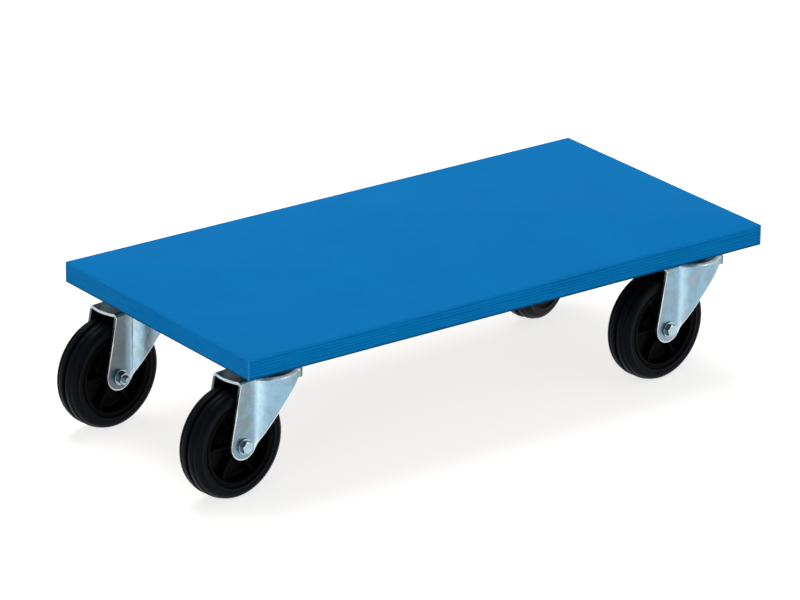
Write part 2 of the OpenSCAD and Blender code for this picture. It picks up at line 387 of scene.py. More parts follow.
def zinc(name, blue=1.0, rough_lo=0.24, rough_hi=0.40, light=1.0, metal=1.0, shaded=False):
    """Bright zinc plate with a blue passivation: faint bands of blue, green and rose, and small marks.

    On the forks two attributes paint light and shade into it: "shade" runs from 0 on the crown, a painted
    shade of the board's shadow, over the legs and the cup to 1 on a painted highlight at the bend between
    them, and
    "arris" is 1 on the painted highlight along a free edge and less on the crown's rim.
    """
    n = Nodes(name)
    cloud = n.noise(n.scaled(1, 1, 0.7), 34, 4, 0.6, 0.6)
    fine = n.noise(n.scaled(1, 1, 1), 420, 3, 0.6)
    spangle = n.noise(n.scaled(1, 1, 1), 95, 3, 0.6, 1.2)
    stops = [(0.28, (0.38, 0.36, 0.40)), (0.40, (0.29, 0.40, 0.47)), (0.50, (0.33, 0.49, 0.60)),
             (0.60, (0.28, 0.41, 0.45)), (0.70, (0.40, 0.42, 0.47))]
    tint = n.ramp(cloud, [(at, tuple(v * light for v in c)) for at, c in stops])
    plain = (0.44 * light, 0.49 * light, 0.53 * light, 1)
    colour = n.mix(blue, plain, tint) if blue < 1 else tint
    pale = (0.46 * light, 0.60 * light, 0.69 * light, 1)
    colour = n.mix(n.grey(spangle, 0.0, 0.35, 0.45, 0.75), colour, pale)
    spots = n.cells(n.scaled(1, 1, 1), 75)
    spot = n.grey(spots, 0.45, 0.0, 0.02, 0.045)
    spot = n.maths("MULTIPLY", spot, n.grey(cloud, 0.0, 1.0, 0.54, 0.58))
    colour = n.mix(spot, colour, (0.16, 0.17, 0.18, 1))
    if shaded:
        # painted light and shade: dark brown on the crown, grey on the legs, light blue on the cup, brighter
        # than the plate at the bend
        cast = n.ramp(n.mask("shade"), [(0.0, (0.30, 0.25, 0.22)), (0.33, (0.66, 0.66, 0.66)),
                                         (0.66, (0.78, 0.86, 0.93)), (1.0, (1.45, 1.42, 1.40))])
        colour = n.mix(1.0, colour, cast, "MULTIPLY")
        # painted highlight: the bright line along free edges is mixed towards white
        arris = n.mask("arris")
        colour = n.mix(arris, colour, (0.93, 0.95, 0.97, 1))
        metal = n.grey(arris, 1.0, 0.35)
    rough = n.grey(spangle, rough_lo, rough_hi, 0.3, 0.7)
    relief = n.bump(fine, 0.05, 0.0003)
    relief = n.bump(spangle, 0.06, 0.0012, relief)
    return n.finish(Base_Color=colour, Metallic=metal, Roughness=rough, Normal=relief)


def rubber(name):
    n = Nodes(name)
    cloud = n.noise(n.scaled(1, 1, 1), 45, 4, 0.6)
    fine = n.noise(n.scaled(1, 1, 1), 700, 3, 0.7)
    colour = n.ramp(cloud, [(0.3, (0.0008, 0.0014, 0.0026)), (0.7, (0.0018, 0.0032, 0.0056))])
    dust = n.grey(n.noise(n.scaled(1, 1, 1), 190, 5, 0.7), 0.0, 0.22, 0.55, 0.8)
    colour = n.mix(dust, colour, (0.006, 0.009, 0.014, 1))
    rough = n.grey(fine, 0.30, 0.46)
    return n.finish(Base_Color=colour, Roughness=rough, Normal=n.bump(fine, 0.12, 0.0003),
                    Specular_IOR_Level=0.05)


def plastic(name, tone=0.0008, lo=0.34, hi=0.50):
    n = Nodes(name)
    cloud = n.noise(n.scaled(1, 1, 1), 60, 4, 0.6)
    fine = n.noise(n.scaled(1, 1, 1), 900, 2, 0.6)
    colour = n.ramp(cloud, [(0.3, (tone * 0.8,) * 3), (0.7, (tone * 1.4, tone * 1.4, tone * 1.6))])
    return n.finish(Base_Color=colour, Roughness=n.grey(cloud, lo, hi, 0.3, 0.7),
                    Normal=n.bump(fine, 0.06, 0.0002), Specular_IOR_Level=0.035)


def steel(name):
    n = Nodes(name)
    fine = n.noise(n.scaled(1, 1, 1), 300, 4, 0.6)
    colour = n.ramp(fine, [(0.3, (0.42, 0.42, 0.43)), (0.7, (0.60, 0.61, 0.62))])
    return n.finish(Base_Color=colour, Metallic=1.0, Roughness=n.grey(fine, 0.22, 0.38),
                    Normal=n.bump(fine, 0.03, 0.0002))


PAINT = (0.000, 0.158, 0.425)
PAINT_DEEP = (0.000, 0.140, 0.392)
PAINT_LIGHT = (0.000, 0.190, 0.480)
PAINT_DARK = (0.000, 0.060, 0.190)
PAINT_HIGHLIGHT = (0.060, 0.330, 0.640)
PAINT_FOOT_SHADOW = (0.000, 0.022, 0.070)

# the top takes the same paint as the edges, toned down to 0.91: painted shade on the top face
MAT_TOP = paint("deck_paint", tone=0.91)
MAT_EDGE = paint("deck_edge_paint", edge=True)
# painted highlight: the coat of the rounded corners and of the top edge's rounding
MAT_CORNER = paint("deck_corner_highlight_paint", highlight=0.24)
MAT_UNDER = veneer("bare_veneer")
MAT_FORK = zinc("zinc_fork", shaded=True)
# painted shade: the fork's inner faces, towards the wheel, are near black
MAT_INNER = zinc("zinc_inner_shade", 0.5, 0.40, 0.60, 0.10)
# painted shade: the sheet's cut faces are dark
MAT_CUT = zinc("zinc_cut_edge_shade", 0.3, 0.34, 0.50, 0.35)
# painted highlight: the rounding along the sheet's outer edges is near white
MAT_EDGE_HIGHLIGHT = zinc("zinc_edge_highlight", 0.2, 0.30, 0.45, 1.25, metal=0.6)
# bolts, nuts and washers in a lit and a shaded copy: the flank coat is painted shade
MAT_BOLT = zinc("zinc_bolt", 0.7, 0.18, 0.34, 1.15)
MAT_FLANK = zinc("zinc_flank_shade", 1.0, 0.20, 0.36, 0.42)
MAT_PLATE = zinc("zinc_plate", 0.8, 0.28, 0.46, 0.8)
MAT_RUBBER = rubber("tyre_rubber")
MAT_RIM = plastic("rim_plastic")
MAT_SEAL = plastic("seal_plastic", 0.02, 0.5, 0.65)
MAT_STEEL = steel("bearing_steel")


# ---------------------------------------------------------------- deck
EDGE_R = 1.5  # how far the board's edges and corners are rounded
TOP, EDGE, CORNER, UNDER = range(4)  # order of the deck's materials


def build_deck():
    lx, hx, ly, hy = DECK_LOW.x, DECK_HIGH.x, DECK_LOW.y, DECK_HIGH.y
    z0, z1 = DECK_LOW.z, DECK_HIGH.z
    ply = (z1 - z0) / PLIES
    path = []  # (point, outward normal, depth factor of the ply lines, distance along)
    sides = [((lx, ly), (1, 0), hx - lx, (0, -1), 1.0), ((hx, ly), (0, 1), hy - ly, (1, 0), 0.55),
             ((hx, hy), (-1, 0), hx - lx, (0, 1), 1.0), ((lx, hy), (0, -1), hy - ly, (-1, 0), 0.55)]
    run = 0.0
    for (px, py), (dx, dy), length, nrm, deep in sides:
        steps = int((length - 2 * EDGE_R) / 4)
        for k in range(steps + 1):
            d = EDGE_R + (length - 2 * EDGE_R) * k / steps
            path.append(((px + dx * d, py + dy * d), nrm, deep, run + d))
        ex, ey = px + dx * (length - EDGE_R), py + dy * (length - EDGE_R)
        cx, cy = ex - nrm[0] * EDGE_R, ey - nrm[1] * EDGE_R
        for k in range(1, 5):
            a = math.radians(90 * k / 5)
            nx, ny = nrm[0] * math.cos(a) + dx * math.sin(a), nrm[1] * math.cos(a) + dy * math.sin(a)
            path.append(((cx + nx * EDGE_R, cy + ny * EDGE_R), (nx, ny), 0.0, run + length))
        run += length
    profile = []  # (inset, height, ply line index or None, share of its depth)
    for k in range(6):
        a = math.radians(90 * k / 5)
        profile.append((EDGE_R * (1 - math.sin(a)), z0 + EDGE_R * (1 - math.cos(a)), None, 0))
    for g in range(1, PLIES):
        for off, share in ((-0.55, 0.0), (-0.2, 0.8), (0.0, 1.0), (0.2, 0.8), (0.55, 0.0)):
            profile.append((0.0, z0 + g * ply + off, g, share))
    for k in range(6):
        a = math.radians(90 * k / 5)
        profile.append((EDGE_R * (1 - math.cos(a)), z1 - EDGE_R * (1 - math.sin(a)), None, 0))
    verts, faces, mats = [], [], []
    for (x, y), (nx, ny), deep, s in path:
        for inset, z, g, share in profile:
            d = inset
            if g:
                wave = noise.noise(Vector((s * 0.035, g * 7.1, 0.3)))
                fine = noise.noise(Vector((s * 0.21, g * 3.7, 1.9)))
                d += share * deep * max(0.04, 0.26 + 0.30 * wave + 0.16 * fine)
                z += 0.28 * noise.noise(Vector((s * 0.012, g * 5.3, 4.0)))
            else:
                d += 0.10 * (noise.noise(Vector((s * 0.02, z * 0.2, 8.0))) + 0.3)
            verts.append(Vector((x - nx * d, y - ny * d, z)))
    n, m = len(path), len(profile)
    turn = m - 5  # the row of faces in the rounding between edge and top, given the corner coat: a painted highlight
    for i in range(n):
        j = (i + 1) % n
        for k in range(m - 1):
            faces.append((i * m + k, j * m + k, j * m + k + 1, i * m + k + 1))
            # the rounded corners and the row at the turn take the corner coat, a painted highlight
            corner = path[i][2] == 0.0 or path[j][2] == 0.0
            if corner and 3 <= k < m - 1 or k == turn:
                mats.append(CORNER)
            else:
                mats.append(EDGE if k < turn else TOP)
    faces.append(tuple(i * m for i in range(n))[::-1])
    faces.append(tuple(i * m + m - 1 for i in range(n)))
    mats += [UNDER, TOP]
    coats = [MAT_TOP, MAT_EDGE, MAT_CORNER, MAT_UNDER]
    ob = make("deck_panel", verts, faces, coats, face_mats=mats, sharp=60)
    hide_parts("deck_board")
    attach(ob, "deck")


# ---------------------------------------------------------------- fork
# u is measured forward from the axle and v up from it
SHEET = 3.0
CUP_R, NOSE_R, FORK_HALF = 37.5, 41.0, 22.0  # from the kingpin to the cup, to the nose, to a flat leg
END_R, END_V = 18.0, 2.5  # the rounded end of a leg and the height of its middle
BEND, CROWN_V, NOSE_LOW = 4.0, 73.5, 63.0  # radius of the crown's rim, v of the crown and under the nose
FILLET = 5.0  # outer radius of the bend between a flat leg and the cup
REAR_TOP = -5.0  # u of the crown's rear corner
TOUCH = math.radians(23.5)  # how far below level the front edge leaves the round end
TOUCH_U, TOUCH_V = END_R * math.cos(TOUCH), END_V - END_R * math.sin(TOUCH)
BOW, NOSE = (42, 52), (72, NOSE_LOW)  # the front edge's control point and its end
WALL_ROWS, BEND_ROWS, BLEND_ROWS = 9, 6, 5
OPENS, NOSE_HALF = 57, 49  # degrees either side of forward: the cup opens out, the nose begins
CREASE_X = -math.sqrt((CUP_R + FILLET) ** 2 - (FORK_HALF + FILLET) ** 2)
SKIN, CUT, INSIDE, BRIGHT = range(4)  # order of the fork's materials


def front_edge(u):
    """Height above the axle of the leg's front edge, u millimetres ahead of the axle."""
    a, b, c = (TOUCH_U, TOUCH_V), BOW, NOSE
    lo, hi = 0.0, 1.0
    for _ in range(40):
        t = (lo + hi) / 2
        x = (1 - t) ** 2 * a[0] + 2 * t * (1 - t) * b[0] + t * t * c[0]
        lo, hi = (t, hi) if x < u else (lo, t)
    return (1 - t) ** 2 * a[1] + 2 * t * (1 - t) * b[1] + t * t * c[1]


def lowest(u):
    """Height of the leg's lower outline: its round end, then its front edge."""
    return END_V - math.sqrt(END_R ** 2 - u * u) if u < TOUCH_U else front_edge(u)


def fork_columns():
    """One side of the fork, from rear edge to nose: top point and normal in plan, and the lowest (u, v)."""
    cols = []
    d = math.hypot(REAR_TOP, CROWN_V - END_V)
    tangent = math.degrees(math.atan2(CROWN_V - END_V, REAR_TOP)) + math.degrees(math.acos(END_R / d))
    centre = (CREASE_X, FORK_HALF + FILLET)
    u_crease = centre[0] + TRAIL
    end = 360 - math.degrees(math.acos(u_crease / END_R))
    steps = 15
    for i in [0, 0.3, 0.45] + list(range(1, steps + 1)):  # the close ones bound the bright line
        t = i / steps
        a = math.radians(tangent + (end - tangent) * t)
        cols.append(((REAR_TOP + (u_crease - REAR_TOP) * t - TRAIL, FORK_HALF), (0, 1),
                     (END_R * math.cos(a), END_V + END_R * math.sin(a))))
    turn = math.degrees(math.atan2(-centre[1], -centre[0]))  # towards the kingpin
    steps = 5
    for i in range(1, steps + 1):
        a = math.radians(-90 + (turn + 90) * i / steps)
        nx, ny = -math.cos(a), -math.sin(a)
        x, y = centre[0] + FILLET * math.cos(a), centre[1] + FILLET * math.sin(a)
        cols.append(((x, y), (nx, ny), (x + TRAIL, lowest(x + TRAIL))))
    phi0 = math.degrees(math.atan2(centre[1], centre[0]))
    steps = 16
    for i in range(1, steps + 1):
        phi = phi0 + (OPENS - phi0) * i / steps
        c, s = math.cos(math.radians(phi)), math.sin(math.radians(phi))
        u = CUP_R * c + TRAIL
        cols.append(((CUP_R * c, CUP_R * s), (c, s), (u, lowest(u))))
    low = cols[-1][2][1]
    steps = 5
    for i in range(1, steps + 1):
        t = i / steps
        phi = OPENS - (OPENS - NOSE_HALF) * t
        ease = t * t * (3 - 2 * t)
        r = CUP_R + (NOSE_R - CUP_R) * ease
        c, s = math.cos(math.radians(phi)), math.sin(math.radians(phi))
        cols.append(((r * c, r * s), (c, s), (r * c + TRAIL, low + (NOSE_LOW - low) * ease)))
    steps = 9
    for i in range(1, steps + 1):
        phi = NOSE_HALF * (1 - i / steps)
        c, s = math.cos(math.radians(phi)), math.sin(math.radians(phi))
        cols.append(((NOSE_R * c, NOSE_R * s), (c, s), (NOSE_R * c + TRAIL, NOSE_LOW)))
    return cols


# ball tracks: radius from the kingpin, height above the floor, radius of the groove
UPPER_TRACK, LOWER_TRACK = (16.5, 140.35, 3.12), (12.0, 134.7, 2.62)


def track(groove, reach, step, up):
    """Points across a groove, from its inner lip to its outer one, above (1) or below (-1) the balls."""
    pitch, z, r = groove
    angles = [math.radians(a) for a in range(-reach, reach + 1, step)]
    return [(pitch + r * math.sin(a), z + up * r * math.cos(a)) for a in angles]


# outer skin of the swivel head: radius from the kingpin, height above the axle
HEAD = [(31.0, 73.4), (28.0, 73.4), (25.4, 73.5), (24.0, 73.8), (23.1, 74.3), (22.6, 74.9), (22.5, 75.4),
        (22.4, 75.8), (22.0, 76.2), (21.4, 76.45), (20.5, 76.5)]

# width of the painted highlight along the legs' edges, and of the line with its fade
ARRIS, ARRIS_FADE = 0.9, 1.3
# painted light and shade: how bright the flat part of each leg is, set caster by caster, and its cup
LEG_SHADE = {"front_left": 0.31, "rear_left": 0.12, "front_right": 0.52, "rear_right": 0.30}
CUP_SHADE = {"front_left": 0.66, "rear_left": 0.74, "front_right": 0.62, "rear_right": 0.62}
# painted shade on the nose, painted highlight on the band at the crease
NOSE_SHADE, CREASE_SHADE = 0.10, 0.96
# the leg's tone turns into the cup's over this length before the bend; the band of painted highlight lies
# past it
LEG_FADE, BAND_PAST, BAND_HALF = 9.0, 3.0, 7.0


def on_arris(c, lows):
    """Whether a point of the fork's skin lies on the painted highlight along the free edge of a leg."""
    if c.z > AXLE_Z + CROWN_V - BEND + 0.01:
        return False
    u, v = c.x + TRAIL, c.z - AXLE_Z
    rear_u, rear_v = lows[0][1]
    t = (v - rear_v) / (CROWN_V - BEND - rear_v)
    if 0 <= t <= 1 and u < rear_u + (lows[0][0] + TRAIL - rear_u) * t + ARRIS + 0.1:
        return True
    return any(math.hypot(u - p[0], v - p[1]) < ARRIS + 0.12 for _, p in lows)


def shade_fork(ob, spot, cols):
    """Writes the two attributes that the zinc material reads: painted light and shade over the fork."""
    into = caster_matrix(spot).inverted()
    ob.data.attributes.new("shade", "FLOAT", "POINT")
    ob.data.attributes.new("arris", "FLOAT", "POINT")
    shades, lines = ob.data.attributes["shade"], ob.data.attributes["arris"]
    lows = [(c[0][0], c[2]) for c in cols]
    leg, cup = LEG_SHADE[spot], CUP_SHADE[spot]
    for v, shade, line in zip(ob.data.vertices, shades.data, lines.data):
        c = into @ v.co
        high = (c.z - AXLE_Z - CROWN_V + BEND) / BEND  # 0 to 1 round the bend below the crown
        past = c.x - CREASE_X
        ease = min(1.0, max(0.0, (past + LEG_FADE) / LEG_FADE))
        band = max(0.0, 1 - abs(past - BAND_PAST) / BAND_HALF)
        wall = leg + (cup - leg) * ease + (CREASE_SHADE - cup) * band
        # the nose takes painted shade; the bright line along a free edge, and the crown's rim past the cup's
        # bend, take painted highlights
        nose = math.hypot(c.x, c.y) > CUP_R + 1.5 and c.x > 15
        if nose:
            wall = NOSE_SHADE
        elif on_arris(c, lows):
            line.value = 1.0
        elif past > 16 and 0.3 < high < 0.9:
            line.value = 0.75
        # round the bend, the rim past the cup takes the painted highlight and the crown above it painted
        # shade (0)
        rim = 1.0 if past > 12 and not nose else wall
        shade.value = wall if high <= 0.2 else rim if high < 0.97 else 0.0


def fork_column(top, nrm, low, side):
    """Points of the skin from the leg's lower edge up and round the bend into the crown."""
    pts = []
    x, w = top
    straight = CROWN_V - BEND - low[1]
    a, b = ARRIS / straight, ARRIS_FADE / straight
    for t in [0.0, a, b] + [b + (1 - b) * k / WALL_ROWS for k in range(1, WALL_ROWS + 1)]:
        u = low[0] + (x + TRAIL - low[0]) * t
        pts.append(Vector((u - TRAIL, side * w, low[1] + straight * t + AXLE_Z)))
    for k in range(1, BEND_ROWS + 1):
        a = math.radians(90 * k / BEND_ROWS)
        back = BEND * (1 - math.cos(a))
        pts.append(Vector((x - nrm[0] * back, side * (w - nrm[1] * back),
                           CROWN_V - BEND + BEND * math.sin(a) + AXLE_Z)))
    return pts


def fork_skin(cols):
    """The fork's outer face: both sides with the nose between them, then the crown and the swivel head."""
    near = [fork_column(*c, 1) for c in cols]
    far = [fork_column(*c, -1) for c in cols[:-1]]
    loop = near + far[::-1]
    corner = near[0][-1]
    rear = []
    for k in range(1, 12):  # the crown's rear edge is hollowed
        t = k / 12
        rear.append(Vector((corner.x - 3.4 * math.sin(math.pi * t) ** 0.8, corner.y * (1 - 2 * t), corner.z)))
    h = len(near[0])
    verts = [p for c in loop for p in c]
    faces = []
    for i in range(len(loop) - 1):
        a, b = i * h, (i + 1) * h
        for k in range(h - 1):
            faces.append((a + k, b + k, b + k + 1, a + k + 1))
    edge = [i * h + h - 1 for i in range(len(loop))]
    for p in rear[::-1]:
        edge.append(len(verts))
        verts.append(p)
    edge_pts = [verts[i] for i in edge]
    # rings from the rim inwards: a blend down to the head's foot, then the head itself
    rings = [edge]
    targets = [(*HEAD[0], t / BLEND_ROWS) for t in range(1, BLEND_ROWS + 1)]
    targets += [(r, v, None) for r, v in HEAD[1:]]
    for r, v, t in targets:
        row = []
        for p in edge_pts:
            a = math.atan2(p.y, p.x)
            flat = math.hypot(p.x, p.y)
            rr = flat + (min(r, flat) - flat) * t if t is not None else min(r, flat)
            row.append(len(verts))
            z = v + AXLE_Z if t is None else p.z + (v + AXLE_Z - p.z) * t
            verts.append(Vector((rr * math.cos(a), rr * math.sin(a), z)))
        rings.append(row)
    n = len(edge)
    for a, b in zip(rings, rings[1:]):
        for i in range(n):
            j = (i + 1) % n
            faces.append((a[i], a[j], b[j], b[i]))
    return verts, faces


def face_outwards(ob):
    bm = bmesh.new()
    bm.from_mesh(ob.data)
    top = max(bm.faces, key=lambda f: f.calc_center_median().z)
    if top.normal.z < 0:
        bmesh.ops.reverse_faces(bm, faces=bm.faces)
    bm.to_mesh(ob.data)
    bm.free()


def fold_sheet(ob):
    """Gives the skin its thickness and rounds the cut edges: a painted highlight on the outer rounding,
    painted shade on the cut face.
    """
    s = ob.modifiers.new("sheet", "SOLIDIFY")
    s.thickness = SHEET * MM
    s.offset = -1.0
    s.use_even_offset = True
    s.thickness_clamp = 0.0
    s.material_offset = INSIDE
    s.material_offset_rim = CUT
    bevel(ob, 1.0, 2, 50)
    ob.modifiers["round"].material = BRIGHT
    freeze(ob)
    bm = bmesh.new()
    bm.from_mesh(ob.data)
    # rounding that touches no outer skin takes the dark cut coat; cut faces up at the crown take the painted
    # highlight
    for f in [f for f in bm.faces if f.material_index == BRIGHT
              and not any(g.material_index == SKIN for e in f.edges for g in e.link_faces)]:
        f.material_index = CUT
    for f in bm.faces:
        if f.material_index == CUT and f.calc_center_median().z > (AXLE_Z + CROWN_V - BEND) * MM:
            f.material_index = BRIGHT
    bm.to_mesh(ob.data)
    bm.free()


def build_race(spot):
    """Hardened ring inside the head, with a track above and one below."""
    top_z, low_z = AXLE_Z + 76.5, AXLE_Z + 73.5
    prof = [(7.0, low_z + 0.5), (7.5, low_z), (9.4, low_z)]
    prof += track(LOWER_TRACK, 60, 15, 1)
    prof += [(14.6, low_z), (20.3, low_z), (20.3, top_z), (19.3, top_z)]
    prof += track(UPPER_TRACK, 56, 14, -1)[::-1]
    prof += [(13.7, top_z), (7.5, top_z), (7.0, top_z - 0.5)]
    race = make("race_ring_" + spot, *lathe(prof, 96), [MAT_STEEL], caster_matrix(spot), sharp=35)
    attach(race, "fork_" + spot)


def build_fork(spot):
    cols = fork_columns()
    zincs = [MAT_FORK, MAT_CUT, MAT_INNER, MAT_EDGE_HIGHLIGHT]
    ob = make("swivel_fork_" + spot, *fork_skin(cols), zincs, caster_matrix(spot))
    shade_fork(ob, spot, cols)
    face_outwards(ob)
    fold_sheet(ob)
    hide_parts("fork_" + spot)
    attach(ob, "fork_" + spot)
    build_race(spot)


# ---------------------------------------------------------------- wheel
# small pips left by the mould's vents: their angles on either side, and where they stand
PIPS = {-1: (136, 236, 18, 300), 1: (40, 130, 220, 310)}
PIP_RADIUS, PIP_OUT = 52.3, 16.5


def build_tyre(spot):
    # from the tread's middle groove over the shoulder to the bead, as radius and offset
    side = [(58.6, 0.0), (58.6, 0.9), (58.9, 1.5), (60.6, 2.0), (61.7, 2.25), (62.2, 2.5), (62.45, 2.95),
            (62.5, 3.5), (62.5, 6.0), (62.4, 7.0), (62.1, 7.8), (61.6, 8.35), (61.0, 8.75), (60.8, 9.1),
            (60.85, 9.6), (60.7, 10.2)]
    for a in range(28, 91, 8):
        c, s = math.cos(math.radians(a)), math.sin(math.radians(a))
        side.append((62.0 - 5.9 * (1 - c) ** 0.98, 6.6 + 9.9 * s))
    side += [(55.6, 16.75), (55.2, 16.98), (54.6, 17.0), (54.0, 16.85), (53.4, 16.62), (51.5, 16.6),
             (50.4, 16.65), (49.6, 16.9), (49.1, 16.95), (48.7, 16.7), (48.4, 16.0), (48.1, 14.9),
             (47.6, 14.2), (47.0, 14.1), (46.55, 14.2), (46.5, 14.0)]
    prof = side + [(r, -o) for r, o in side[::-1] if o > 0]
    parts = [lathe(prof, 192)]
    pip = lathe([(0.75, -0.4), (0.75, 0.12), (0.5, 0.34), (0.15, 0.38)], 12, closed=False)
    for side, angles in PIPS.items():
        for a in (math.radians(angle) for angle in angles):
            m = Matrix.Translation((PIP_RADIUS * math.cos(a), PIP_RADIUS * math.sin(a), side * PIP_OUT))
            if side < 0:
                m = m @ Matrix.Rotation(math.pi, 4, "X")
            parts.append(moved(pip, m))
    ob = make("tread_tyre_" + spot, *join_parts(parts), [MAT_RUBBER], axle_matrix(spot), sharp=50)
    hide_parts("tyre_" + spot)
    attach(ob, "wheel_" + spot)


def build_rim(spot):
    # the lip at the tyre, the web and the hub of one half, as radius and offset
    half = [(46.45, 0.0), (46.45, 14.0), (46.2, 14.9), (45.6, 15.4), (44.6, 15.5), (43.2, 15.45),
            (42.5, 15.1), (42.1, 14.3), (41.9, 12.5), (41.4, 8.0), (40.9, 5.0), (40.2, 3.8), (38.8, 3.15),
            (36.0, 3.0), (24.0, 3.0), (20.5, 3.3), (18.6, 4.4), (17.7, 6.5), (17.1, 12.0), (16.9, 17.1),
            (16.5, 18.1), (15.6, 18.5), (12.2, 18.5), (10.6, 18.4), (10.05, 17.8), (10.05, 0.0)]
    # a closed section: the outside of both halves, then back along the bore
    section = half[:-1] + [(10.05, -17.8)] + [(r, -o) for r, o in half[::-1][2:-1]]
    parts = [lathe(section, 144)]
    rib = ((16.8, 12.5), (20, 11.0), (26, 10.2), (34, 10.2), (39, 11.2), (41.9, 12.8))  # radius, height
    for a in (math.radians(60 * k) for k in range(6)):
        for s in (-1, 1):
            v, f = [], []
            for r, h in rib:
                for w, z in ((-1.9, 2.6), (-1.6, h - 0.9), (-1.35, h - 0.3), (-0.8, h),
                             (0.8, h), (1.35, h - 0.3), (1.6, h - 0.9), (1.9, 2.6)):
                    v.append(Vector((r, w, z * s)))
            m = 8  # points round the rib
            for i in range(len(rib) - 1):
                for j in range(m):
                    k = (j + 1) % m
                    f.append((i * m + j, (i + 1) * m + j, (i + 1) * m + k, i * m + k))
            f.append(tuple(range(m)))
            f.append(tuple((len(rib) - 1) * m + j for j in range(m))[::-1])
            parts.append(moved((v, f), Matrix.Rotation(a, 4, "Z")))
    ob = make("hub_rim_" + spot, *join_parts(parts), [MAT_RIM], axle_matrix(spot), sharp=40)
    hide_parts("wheel_rim_" + spot)
    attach(ob, "wheel_" + spot)


# ---------------------------------------------------------------- hardware
HEX_FLATS, HEAD_H, NUT_H = 13, 5.3, 6.8
WASHER_R, WASHER_T = 9.0, 1.6
THREAD_PITCH, THREAD_R, ROOT_R, PAST_NUT = 1.25, 3.95, 3.42, 4.5
HEAD_TURN, NUT_TURN = {-1: 13, 1: 20}, 47  # degrees that the hexagons happen to stand at
SCREW_SHANK = [(2.2, -17.5), (3.9, -14.0), (3.9, 0.6)]
FLANK_SHADE = 1  # place of the flank coat, painted shade, among the materials of bolts, nuts and washers


def mirrored(s):
    return Matrix.Scale(s, 4, Vector((0, 0, 1)))


def shade_flanks(ob, matrix):
    """Faces that stand along the axle take the darker flank coat: painted shade on the sides of heads, nuts,
    threads and washers.
    """
    out = (matrix.to_3x3() @ Vector((0, 0, 1))).normalized()
    for f in ob.data.polygons:
        if abs(f.normal.dot(out)) < 0.8:
            f.material_index = FLANK_SHADE


def build_axle(spot):
    m = axle_matrix(spot)
    side = HEAD_SIDE[spot]
    turn = Matrix.Rotation(math.radians(HEAD_TURN[side]), 4, "Z")
    face = FORK_HALF + WASHER_T
    head = moved(hexagon(HEX_FLATS, HEAD_H), turn @ Matrix.Translation((0, 0, face)))
    # shank, then a threaded end with a turned tip
    shank = [(3.98, face + 0.2), (3.98, -face + 0.4)]
    z = -face + 0.2
    end = -(face + NUT_H + PAST_NUT)
    while z > end + 1.3:
        shank += [(THREAD_R, z), (THREAD_R, z - 0.2), (ROOT_R, z - 0.62), (ROOT_R, z - 0.8)]
        z -= THREAD_PITCH
    shank += [(3.7, z), (3.1, end + 0.5), (2.7, end), (2.0, end), (1.8, end + 0.15)]
    parts = [head, lathe(shank, 40, closed=False)]
    finish = [MAT_BOLT, MAT_FLANK]
    ob = make("wheel_bolt_" + spot, *join_parts(parts), finish, m @ mirrored(side), sharp=35)
    shade_flanks(ob, m)
    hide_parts("axle_bolt_" + spot)
    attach(ob, "fork_" + spot)
    nut_turn = Matrix.Rotation(math.radians(NUT_TURN), 4, "Z")
    nut = hexagon(HEX_FLATS, NUT_H, chamfer_low=True, bore=4.02)
    nut = moved(nut, nut_turn @ Matrix.Translation((0, 0, face)))
    ob = make("wheel_nut_" + spot, *nut, finish, m @ mirrored(-side), sharp=35)
    shade_flanks(ob, m)
    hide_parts("axle_nut_" + spot)
    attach(ob, "fork_" + spot)
    prof = rounded([(4.06, 0), (WASHER_R, 0), (WASHER_R, WASHER_T), (4.06, WASHER_T)], 0.35, 3)
    beside = Matrix.Translation((0, 0, FORK_HALF))
    parts = [moved(lathe(prof, 64), mirrored(s) @ beside) for s in (-1, 1)]
    ob = make("wheel_washers_" + spot, *join_parts(parts), finish, m, sharp=50)
    shade_flanks(ob, m)
    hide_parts("axle_washers_" + spot)
    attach(ob, "fork_" + spot)


def outline_plate(name, outer, holes, low, high, soft):
    """A plate cut from an outline with holes, its edges rounded, made with a filled curve."""
    cu = bpy.data.curves.new(name, "CURVE")
    cu.dimensions = "2D"
    cu.fill_mode = "BOTH"
    for pts in [outer] + holes:
        sp = cu.splines.new("POLY")
        sp.points.add(len(pts) - 1)
        for p, (x, y) in zip(sp.points, pts):
            p.co = (x, y, 0, 1)
        sp.use_cyclic_u = True
    cu.extrude = (high - low) / 2 - soft
    cu.bevel_depth = soft
    cu.bevel_resolution = 2
    cu.offset = -soft
    tmp = bpy.data.objects.new(name, cu)
    scene.collection.objects.link(tmp)
    dg = bpy.context.evaluated_depsgraph_get()
    me = bpy.data.meshes.new_from_object(tmp.evaluated_get(dg))
    bpy.data.objects.remove(tmp)
    bpy.data.curves.remove(cu)
    verts = [v.co + Vector((0, 0, (high + low) / 2)) for v in me.vertices]
    faces = [tuple(p.vertices) for p in me.polygons]
    bpy.data.meshes.remove(me)
    return verts, faces


def arc(cx, cy, r, a0, a1, n):
    angles = [math.radians(a0 + (a1 - a0) * k / n) for k in range(n + 1)]
    return [(cx + r * math.cos(a), cy + r * math.sin(a)) for a in angles]


def king_matrix(spot):
    """About the kingpin, square with the deck."""
    king = joint_place("swivel_" + spot)
    return Matrix.Translation((king.x, king.y, 0)) @ Matrix.Scale(MM, 4)


PLATE_HALF_X, PLATE_HALF_Y, PLATE_CORNER = 52.5, 42.5, 6
PLATE_LOW, PLATE_HIGH = 147, 150
SLOT_R, SLOT_HALF, PLATE_HOLE_R = 4.5, 2, 20.0  # the screws' slots, and the hole under the boss
SCREW_SPOTS = [(x, y) for x in (-40, 40) for y in (-30, 30)]


